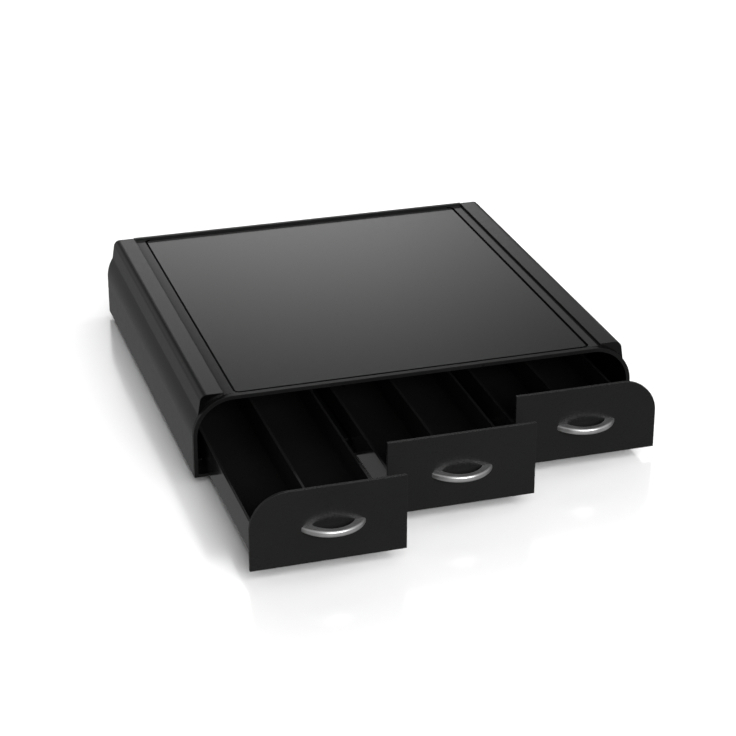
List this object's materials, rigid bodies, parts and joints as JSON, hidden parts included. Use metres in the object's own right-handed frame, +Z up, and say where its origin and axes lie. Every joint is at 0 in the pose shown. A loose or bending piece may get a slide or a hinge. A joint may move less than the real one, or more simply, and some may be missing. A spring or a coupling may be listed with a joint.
{
  "type": "coffee pod drawer",
  "caption": "Low arched housing with a flush top panel between raised rails and shallow drawers side by side for coffee pods, each drawer with a divider and a bow handle.",
  "frame": {"origin": "on the table, under the middle of the bounding box with the drawers standing part open as in the rest pose", "axes": "+X to the right seen from the front, +Y to the back, +Z up"},
  "size_m": [0.345, 0.4893, 0.0691],
  "materials": {
    "satin_black_plastic": "satin, fine moulded grain",
    "gloss_black_plastic": "polished",
    "silver_handle": "satin silver",
    "rubber": "matt",
    "screw_steel": "zinc plated"
  },
  "bodies": {
    "housing": {"base_panel": "satin_black_plastic", "left_side": "satin_black_plastic", "right_side": "satin_black_plastic", "top_deck": "satin_black_plastic", "top_panel": "satin_black_plastic", "front_bezel": "satin_black_plastic", "back_panel": "satin_black_plastic", "left_bay_guide": "satin_black_plastic", "right_bay_guide": "satin_black_plastic", "rubber_feet": "rubber", "base_screws": "screw_steel", "back_screws": "screw_steel"},
    "left_drawer": {"left_tray": "gloss_black_plastic", "left_divider": "gloss_black_plastic", "left_front": "gloss_black_plastic", "left_handle": "silver_handle", "left_front_screws": "screw_steel"},
    "middle_drawer": {"middle_tray": "gloss_black_plastic", "middle_divider": "gloss_black_plastic", "middle_front": "gloss_black_plastic", "middle_handle": "silver_handle", "middle_front_screws": "screw_steel"},
    "right_drawer": {"right_tray": "gloss_black_plastic", "right_divider": "gloss_black_plastic", "right_front": "gloss_black_plastic", "right_handle": "silver_handle", "right_front_screws": "screw_steel"}
  },
  "joints": [
    {"name": "left_drawer_slide", "type": "slide", "parent": "housing", "child": "left_drawer", "axis": [0, -1, 0], "range_m": [-0.149, 0.066]},
    {"name": "middle_drawer_slide", "type": "slide", "parent": "housing", "child": "middle_drawer", "axis": [0, -1, 0], "range_m": [-0.1, 0.115]},
    {"name": "right_drawer_slide", "type": "slide", "parent": "housing", "child": "right_drawer", "axis": [0, -1, 0], "range_m": [-0.056, 0.159]}
  ]
}
